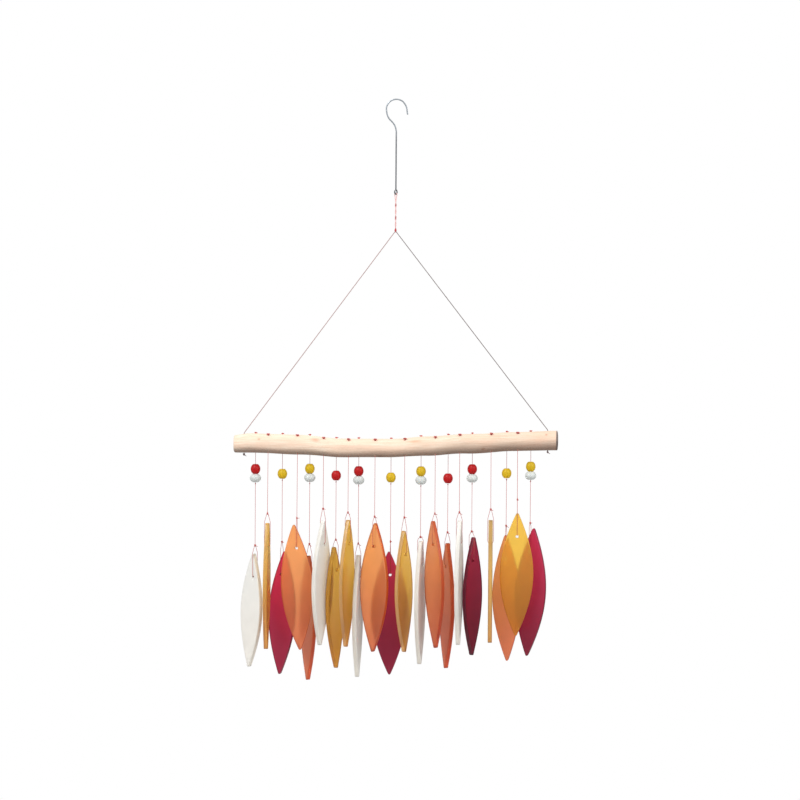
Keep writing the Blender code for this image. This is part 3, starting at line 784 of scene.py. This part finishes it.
def make_sling():
    """The cord that carries the branch: one length from knot to knot, doubled through the hook's eye."""
    along = Vector((-math.sin(EYE_TURN), math.cos(EYE_TURN), 0))
    bend = WIRE_RADIUS + GAP + CORD_RADIUS
    wire_z = -HOOK_LENGTH - WIRE_RADIUS
    over_wire = []
    for degrees in range(210, -31, -20):
        angle = math.radians(degrees)
        over_wire.append(along * math.cos(angle) * bend + UP * (wire_z + math.sin(angle) * bend))
    rising = pair_strand(math.pi, True)
    if (rising[-1] - over_wire[0]).length > (rising[-1] - over_wire[-1]).length:
        over_wire = over_wire[::-1]
    falling = pair_strand(2 * math.pi, False)
    points = sling_leg(-1) + rising + over_wire + falling + sling_leg(1)[::-1]
    route = soften(resample(points, CORD_SPACING), 3)
    rings = tube_rings(route, CORD_RADIUS, CORD_AROUND, plies=2, pitch=CORD_PLY_PITCH)
    sling = finish_piece(loft("sling", rings), sling_yarn("sling_cord"), "sling_cord", "suspension_cord")

    look = (yarn("apex_knot_yarn", (0.52, 0.035, 0.045)), "sling_cord")
    tails = ((0.0002, 0, 0.0022), (0.0004, -0.0003, -0.0021))
    apex = Vector((0, 0, APEX_Z))
    knots = [make_knot("sling_apex_knot", apex, APEX_KNOT_SIZE, APEX_KNOT_YARN, 0.4, tails, look)]
    look = (yarn("sling_knot_yarn", (0.20, 0.13, 0.13)), "sling_cord")
    tails = ((0, 0, 0.0012), (0.0023, -0.0008, -0.0017))
    for side, name in ((-1, "sling_left_end_knot"), (1, "sling_right_end_knot")):
        place = sling_leg(side)[0]
        knots.append(make_knot(name, place, SLING_KNOT_SIZE, SLING_KNOT_YARN, 0.7 + side, tails, look))


# The hook

def make_hook():
    """A curl, a straight shank and a small closed eye, bent from one wire with cut ends."""
    radius = CURL_INSIDE_DIAMETER / 2 + WIRE_RADIUS
    centre = Vector((0, 0, -CURL_INSIDE_DIAMETER / 2))
    eye_radius = EYE_INSIDE_DIAMETER / 2 + WIRE_RADIUS
    eye_centre = Vector((0, 0, -HOOK_LENGTH + EYE_INSIDE_DIAMETER / 2))
    guide = [centre + Vector((x, 0, z)) * radius for x, z in CURL_TIP]
    for degrees in CURL_DEGREES:
        angle = math.radians(degrees)
        guide.append(centre + Vector((math.cos(angle), 0, math.sin(angle))) * radius)
    guide += [centre + Vector((x, 0, z)) * radius for x, z in CURL_NECK]
    guide.append(Vector((0, 0, guide[-1].z - radius / 2)))
    points = smooth_route(guide, 8)
    points.append(eye_centre + UP * (eye_radius + WIRE_DIAMETER))
    across = Vector((math.cos(EYE_TURN), math.sin(EYE_TURN), 0))
    closing = math.asin((WIRE_DIAMETER + GAP) / eye_radius)
    for step in range(EYE_STEPS + 1):
        angle = math.pi / 2 - (2 * math.pi - closing) * step / EYE_STEPS
        points.append(eye_centre + (across * math.cos(angle) + UP * math.sin(angle)) * eye_radius)
    route = soften(resample(points, WIRE_SPACING), 3)
    radii = np.full(len(route), WIRE_RADIUS)
    radii[[0, -1]] = WIRE_RADIUS * 0.7
    wire = loft("hook_wire", tube_rings(route, radii, WIRE_AROUND))
    finish_piece(wire, galvanised_wire("galvanised_wire"), "hook_wire", "wire_hook")


# The branch

# Marks on the wood: place along the branch, degrees round it from the front up to the top, half length
# and half height in metres, and the colour that the wood is multiplied by there
WOOD_MARKS = (
    (-0.0783, 38, 0.0042, 0.0020, (0.86, 0.66, 0.60)),
    (-0.0135, -62, 0.0030, 0.0012, (0.50, 0.38, 0.33)),
    (-0.1343, 25, 0.0011, 0.0010, (0.72, 0.55, 0.48)),
    (0.0205, 35, 0.0060, 0.0022, (0.93, 0.76, 0.68)),
    (0.1517, 40, 0.0012, 0.0010, (0.70, 0.52, 0.46)),
    (0.0890, -35, 0.0016, 0.0011, (0.74, 0.58, 0.50)),
    (0.1060, 150, 0.0034, 0.0019, (0.62, 0.46, 0.40)),
    (-0.1050, 205, 0.0024, 0.0014, (0.66, 0.50, 0.43)),
    (-0.0300, 140, 0.0040, 0.0018, (0.80, 0.62, 0.54)),
)
# Lumps: place, degrees round, half length, half height in metres, and how far they stand proud
WOOD_LUMPS = (
    (0.0720, 15, 0.0090, 0.0034, 0.00045),
    (-0.0783, 38, 0.0036, 0.0022, 0.00030),
    (0.1060, 150, 0.0050, 0.0028, 0.00050),
    (-0.1050, 205, 0.0040, 0.0024, 0.00035),
    (0.0500, -40, 0.0120, 0.0030, -0.00030),
)
# The ground of the wood: slow swells and fine grooves, with how many there are in a metre of its length
SWELL_HEIGHT = 0.00050
SWELLS_PER_METRE = 26
GROOVE_HEIGHT = 0.00008
GROOVES_PER_METRE = 60
# What the wood is multiplied by on its sawn right end, and its painted shade on the underside and towards
# its right
SAWN_TONE = (0.36, 0.38, 0.43)
UNDERSIDE_SHADE = (0.44, 0.41, 0.41)
RIGHTWARDS_SHADE = (0.90, 0.86, 0.84)
RIGHTWARDS_FROM_X = -0.06
RIGHTWARDS_LENGTH = 0.18
SAWN_DEPTH = 0.0010
SAWN_BLUR = 0.0004


def spot_weight(x, angle, radius, spot_x, degrees, half_length, half_height):
    """1 in the middle of a spot on the branch, falling softly to 0 round it."""
    turn = (angle - math.radians(degrees) + math.pi) % (2 * math.pi) - math.pi
    away = ((x - spot_x) / half_length) ** 2 + (turn * radius / half_height) ** 2
    return np.exp(-away)


def branch_rows():
    """Rows along the branch of place, middle height and reach, and the angles of the reach's points."""
    left = BRANCH_SHIFT - BRANCH_LENGTH / 2
    places = left + BRANCH_LENGTH * np.linspace(0, 1, BRANCH_ROWS)
    angles = np.linspace(0, 2 * math.pi, BRANCH_AROUND, endpoint=False)
    rows = []
    for x in places:
        middle, radius = branch_at(x)
        reach = np.full(BRANCH_AROUND, radius)
        for column, angle in enumerate(angles):
            around = Vector((math.cos(angle), math.sin(angle), 0)) * 1.3
            swell = noise.noise(Vector((x * SWELLS_PER_METRE, around.x, around.y)))
            groove = noise.noise(Vector((x * GROOVES_PER_METRE, around.x * 9, around.y * 9 + 5)))
            reach[column] += swell * SWELL_HEIGHT + groove * GROOVE_HEIGHT
        for *spot, proud in WOOD_LUMPS:
            reach += proud * spot_weight(x, angles, radius, *spot)
        rows.append((x, middle, reach))
    return rows, angles


def end_rows(row, rounding, out):
    """Rows that close an end: a rounded rim, then flat towards the middle."""
    x, middle, reach = row
    rows = []
    for step in range(1, RIM_STEPS + 1):
        turn = math.pi / 2 * step / RIM_STEPS
        rows.append((x + out * rounding * math.sin(turn), middle, reach - rounding * (1 - math.cos(turn))))
    tip_x, _, tip_reach = rows[-1]
    for share in (0.8, 0.55, 0.3, 0.08):
        rows.append((tip_x, middle, tip_reach * share))
    return rows


def end_slant(x, y):
    """How far the oblique cut takes the wood back at its right end: most at the front, least at the back."""
    near_end = np.clip((x - BRANCH_SHIFT - BRANCH_LENGTH / 2) / END_SLANT_REACH + 1, 0, 1)
    return END_SLANT * near_end * np.clip(0.1 - y / BRANCH_DIAMETER, -0.4, 0.6)


def make_branch():
    rows, angles = branch_rows()
    left_rounding = BRANCH_END_ROUNDING
    right_rounding = BRANCH_END_ROUNDING / 3
    left = BRANCH_SHIFT - BRANCH_LENGTH / 2
    body = [row for row in rows if left + left_rounding <= row[0] <= left + BRANCH_LENGTH - right_rounding]
    first = (left + left_rounding, *body[0][1:])
    last = (left + BRANCH_LENGTH - right_rounding, *body[-1][1:])
    rows = end_rows(first, left_rounding, -1)[::-1] + [first] + body[1:-1] + [last]
    rows += end_rows(last, right_rounding, 1)
    rings = []
    for x, middle, reach in rows:
        y = -np.cos(angles) * reach
        rings.append(np.stack([x - end_slant(x, y), y, middle + np.sin(angles) * reach], axis=1))
    branch = loft("branch", rings)
    paint_marks_and_shade(branch)
    drill_branch(branch)
    finish_piece(branch, bleached_wood("bleached_wood"), "driftwood", "driftwood_branch")


def multiply_in(colours, weight, colour):
    """Multiplies the colours by another, as far as each point's weight says."""
    colours[:, :3] *= 1 - weight[:, None] * (1 - np.array(colour))


def paint_marks_and_shade(branch):
    """Vertex colours for the pin knots, the sawn right end, and painted shade on the underside and right
    half.
    """
    mesh = branch.data
    count = len(mesh.vertices)
    flat = np.zeros(count * 3)
    mesh.vertices.foreach_get("co", flat)
    x, y, z = flat.reshape(-1, 3).T
    middles = np.array([branch_at(place)[0] for place in x])
    angles = np.arctan2(z - middles, -y)
    colours = np.ones((count, 4))
    for *spot, colour in WOOD_MARKS:
        multiply_in(colours, spot_weight(x, angles, BRANCH_RADIUS, *spot), colour)
    right_end = BRANCH_SHIFT + BRANCH_LENGTH / 2
    sawn = np.clip((x + end_slant(x, y) - right_end + SAWN_DEPTH) / SAWN_BLUR, 0, 1)
    rightwards = np.clip((x - RIGHTWARDS_FROM_X) / RIGHTWARDS_LENGTH, 0, 1)
    # Painted shade under the branch, starting higher up the wood the further right it is
    shade_from = 0.35 - 0.50 * rightwards
    under = np.clip((-np.sin(angles) - shade_from) / (0.80 - shade_from), 0, 1)
    multiply_in(colours, sawn, SAWN_TONE)
    # Painted shade on the underside and towards the right
    multiply_in(colours, under, UNDERSIDE_SHADE)
    multiply_in(colours, rightwards, RIGHTWARDS_SHADE)
    paint(mesh, "marks_and_shade", colours)


def drill_branch(branch):
    """Cuts the strands' holes and the sling's two."""
    holes = []
    for index in range(len(STRANDS)):
        holes.append((strand_x(index), row_of(index) * HOLE_ROW_OFFSET, THREAD_RADIUS))
    for side in (-1, 1):
        holes.append((sling_hole_x(side), 0, CORD_RADIUS))
    drills = bmesh.new()
    for x, y, radius in holes:
        wide = radius + THREAD_CLEARANCE
        made = bmesh.ops.create_cone(drills, cap_ends=True, segments=DRILL_AROUND, radius1=wide,
                                     radius2=wide, depth=4 * BRANCH_DIAMETER)
        bmesh.ops.translate(drills, verts=made["verts"], vec=(x, y, BRANCH_Z))
    mesh = bpy.data.meshes.new("drills")
    drills.to_mesh(mesh)
    drills.free()
    tool = add_object("drills", mesh)
    cut = branch.modifiers.new("holes", "BOOLEAN")
    cut.operation = "DIFFERENCE"
    cut.solver = "EXACT"
    cut.object = tool
    drilled = branch.evaluated_get(bpy.context.evaluated_depsgraph_get())
    cut_mesh = bpy.data.meshes.new_from_object(drilled)
    branch.modifiers.clear()
    branch.data = cut_mesh
    bpy.data.objects.remove(tool)


# The glass leaves

def leaf_half_width(share, width):
    """Half the leaf's width at a share of its length from the top tip."""
    widest = math.log(0.5) / math.log(LEAF_WIDEST)
    fullness = math.sin(math.pi * share ** widest) ** LEAF_FULLNESS if 0 < share < 1 else 0.0
    tip = LEAF_TIP_WIDTH / 2
    return tip + (width / 2 - tip) * fullness


def leaf_outline(strand):
    """The leaf's outline round its hole, with its two tips a little rounded."""
    length = LEAF_LENGTH * strand.length
    width = LEAF_WIDTH * strand.width
    left = []
    right = []
    for step in range(OUTLINE_STEPS + 1):
        share = 0.5 - math.cos(math.pi * step / OUTLINE_STEPS) / 2
        half_width = leaf_half_width(share, width)
        z = LEAF_HOLE_DROP - share * length
        left.append((-half_width - strand.hole, z))
        right.append((half_width - strand.hole, z))
    middle_top = (-strand.hole, LEAF_HOLE_DROP)
    line = resample([middle_top] + left + right[::-1] + [middle_top], OUTLINE_SPACING)[:-1]
    return line / 2 + (np.roll(line, 1, axis=0) + np.roll(line, -1, axis=0)) / 4


def leaf_rings(index):
    """Rings over the front from the hole to the edge, round the edge and back over the rear."""
    strand = STRANDS[index]
    line = leaf_outline(strand)
    ahead = np.roll(line, -1, axis=0) - np.roll(line, 1, axis=0)
    ahead /= np.linalg.norm(ahead, axis=1)[:, None]
    inward = np.stack([-ahead[:, 1], ahead[:, 0]], axis=1)
    outward_angle = np.arctan2(line[:, 1], line[:, 0])
    spoke = np.stack([np.cos(outward_angle), np.sin(outward_angle)], axis=1)
    hole = LEAF_HOLE_DIAMETER / 2
    half = LEAF_THICKNESS / 2
    from_axis = np.abs(line[:, :1] + strand.hole)
    rounding = LEAF_EDGE_ROUNDING * np.clip(from_axis / LEAF_TIP_REACH, 0.35, 1.0)
    front = []
    for step in range(LIP_STEPS + 1):
        turn = math.pi / 2 * step / LIP_STEPS
        radius = hole + LEAF_LIP_ROUNDING * (1 - math.cos(turn))
        front.append((spoke * radius, half - LEAF_LIP_ROUNDING * (1 - math.sin(turn))))
    inner = front[-1][0]
    outer = line + inward * rounding
    for step in range(1, FACE_STEPS + 1):
        share = (step / FACE_STEPS) ** 1.5
        front.append((inner * (1 - share) + outer * share, half))
    for step in range(1, EDGE_STEPS + 1):
        turn = math.pi / 2 * (1 - step / EDGE_STEPS)
        inset = rounding * (1 - math.cos(turn))
        front.append((line + inward * inset, half - LEAF_EDGE_ROUNDING * (1 - math.sin(turn))))
    rings = []
    for side in (1, -1):
        for flat, z in (front if side > 0 else front[::-1]):
            wave = []
            for x, y in flat:
                spot = Vector((x * LEAF_WAVES_PER_METRE, y * LEAF_WAVES_PER_METRE, index * 7.3))
                wave.append(noise.noise(spot) * LEAF_WAVE_HEIGHT)
            rings.append(np.column_stack([flat, side * z + np.array(wave)]))
    return rings


def paint_leaf_light_and_shade(leaf, index):
    """Painted light and shade on the leaf's walls and over the whole of some leaves, with the share of the
    painted highlight on its left wall as their alpha.

    The leaf still lies in its own frame here: across is x, and through the glass is z.
    """
    glass = STRANDS[index].glass
    left_wall_shading, right_wall_shading = (np.array(painted_light_and_shade) for painted_light_and_shade in WALL_LIGHT_AND_SHADE[glass])
    # Painted light and shade over the whole of some leaves
    leaf_light_and_shade = LEAF_LIGHT_AND_SHADE.get(index + 1, (1.0, 1.0, 1.0))
    colours = []
    for vertex in leaf.data.vertices:
        from_middle = abs(vertex.co.z) / (LEAF_THICKNESS / 2)
        at_hole = vertex.co.xy.length < LEAF_HOLE_DIAMETER
        # Whole in the middle of the wall, and less on its rounding into the faces
        wall = 0.0 if at_hole else min(max(2.2 - 2 * from_middle, 0.0), 1.0)
        # Painted light and shade: each wall takes the left or the right colour by the way it faces
        left = wall * max(-vertex.normal.x, 0.0)
        right = wall * max(vertex.normal.x, 0.0)
        painted_light_and_shade = (1 - left * (1 - left_wall_shading)) * (1 - right * (1 - right_wall_shading)) * leaf_light_and_shade
        colours.append((*painted_light_and_shade, left * WALL_HIGHLIGHT_SHARE.get(index + 1, 0.0)))
    paint(leaf.data, "painted_light_and_shade", colours)


def make_leaf(index, glasses):
    strand = STRANDS[index]
    number = number_of(index)
    leaf = loft(f"leaf_{number}", leaf_rings(index), ends="joined")
    pose = Euler((math.pi / 2, -math.radians(strand.lean), math.radians(strand.turn)))
    paint_leaf_light_and_shade(leaf, index)
    leaf.data.transform(Matrix.Translation(leaf_hole(index)) @ pose.to_matrix().to_4x4())
    finish_piece(leaf, glasses[strand.glass], f"{strand.glass}_glass", f"glass_leaf_{number}")


# The beads

def bead_profile(radius, length):
    """The bead's outline from the top of its bore round to the bottom, as reach and height."""
    half = length / 2
    lip = [(BEAD_BORE, half * 0.86), (BEAD_BORE * 1.35, half * 0.97)]
    widest_turn = math.acos(BEAD_END_DIAMETER / 2 / radius)
    body = []
    for step in range(BEAD_STEPS + 1):
        turn = widest_turn * (1 - 2 * step / BEAD_STEPS)
        height = half * math.sin(turn) / math.sin(widest_turn) * 0.995
        body.append((radius * math.cos(turn), height))
    return lip + body + [(across, -height) for across, height in reversed(lip)]


def make_beads(index, glasses):
    """The strand's beads, each turned round the thread, a little uneven and rounded into its bore."""
    number = number_of(index)
    stack = bead_stack(index)
    node = f"bead_{number}" if len(stack) == 1 else f"bead_pair_{number}"
    angles = np.linspace(0, 2 * math.pi, BEAD_AROUND, endpoint=False)
    for kind, z, radius, length in stack:
        own_noise = Vector((index * 3.1, 0, z * 90))
        rings = []
        for across, height in bead_profile(radius, length):
            ring = []
            for angle in angles:
                spot = Vector((math.cos(angle) * across, math.sin(angle) * across, height))
                lump = noise.noise(spot * BEAD_LUMPS_PER_METRE + own_noise)
                ring.append(spot * (1 + BEAD_UNEVENNESS * lump) if across > BEAD_BORE else spot)
            rings.append(ring)
        bead = loft(f"{kind}_bead_{number}", rings, ends="joined")
        bead.data.transform(Matrix.Translation(thread_at(index, z)))
        finish_piece(bead, glasses[kind], f"{kind}_bead", node)


# Light and floor

def make_light(name, place, power):
    lamp = bpy.data.lights.new(name, "AREA")
    lamp.shape = "DISK"
    lamp.size = LIGHT_SIZE
    lamp.energy = power
    light = add_object(name, lamp)
    light.location = place
    light.rotation_euler = (Vector(LIGHT_TARGET) - Vector(place)).to_track_quat("-Z", "Y").to_euler()


def make_world():
    """A white surround, which lights solid things less than it shows through the glass.

    It is darker in reflections, most at its right side, so that deep glass turned that way stays deep.
    """
    world = bpy.data.worlds.new("studio")
    world.use_nodes = True
    bpy.context.scene.world = world
    tree = world.node_tree
    tree.nodes.clear()
    axes = axes_of(tree, tree.nodes.new("ShaderNodeTexCoord").outputs["Generated"])
    height = map_range(tree, axes["Z"], (-1.0, 1.0))
    seen = ramp(tree, height, *SEEN_GREYS)
    lit = ramp(tree, height, *LIT_GREYS)
    rays = tree.nodes.new("ShaderNodeLightPath").outputs
    straight = calculate(tree, "MAXIMUM", rays["Is Camera Ray"], rays["Is Transmission Ray"])
    loss = map_range(tree, axes["X"], LOSS_PLACES, REFLECTION_LOSS)
    reflected = mix(tree, calculate(tree, "MULTIPLY", rays["Is Glossy Ray"], loss), lit, BLACK)
    light = mix(tree, straight, reflected, seen)
    surround = add_node(tree, "ShaderNodeBackground", {"Color": light, "Strength": 1.0})
    output = tree.nodes.new("ShaderNodeOutputWorld")
    tree.links.new(surround.outputs["Background"], output.inputs["Surface"])


def make_floor():
    mesh = bpy.data.meshes.new("floor")
    work = bmesh.new()
    bmesh.ops.create_circle(work, cap_ends=True, segments=96, radius=FLOOR_RADIUS)
    work.to_mesh(mesh)
    work.free()
    floor = add_object("floor", mesh)
    floor.location = (0, 0, FLOOR_Z)
    floor.data.materials.append(plain_floor("plain_floor"))


def main():
    make_camera()
    make_sling()
    thread_yarn = yarn("thread_yarn", (0.52, 0.09, 0.08))
    for index in range(len(STRANDS)):
        make_thread(index, thread_yarn)
    make_hook()
    make_branch()
    leaf_glass = {}
    for kind, (upper, lower, clearness) in LEAF_GLASS.items():
        name = f"{kind}_glass"
        leaf_glass[kind] = frosted_glass(name, upper, lower, clearness, LEAF_ROUGHNESS, with_painted_light=True)
    bead_glass = {}
    for kind, (colour, clearness) in BEAD_GLASS.items():
        name = f"{kind}_bead_glass"
        bead_glass[kind] = frosted_glass(name, colour, colour, clearness, BEAD_ROUGHNESS)
    for index, strand in enumerate(STRANDS):
        make_leaf(index, leaf_glass)
        if strand.beads:
            make_beads(index, bead_glass)
    make_world()
    for light in LIGHTS:
        make_light(*light)
    make_floor()
    bpy.context.scene.view_settings.view_transform = "Standard"


main()
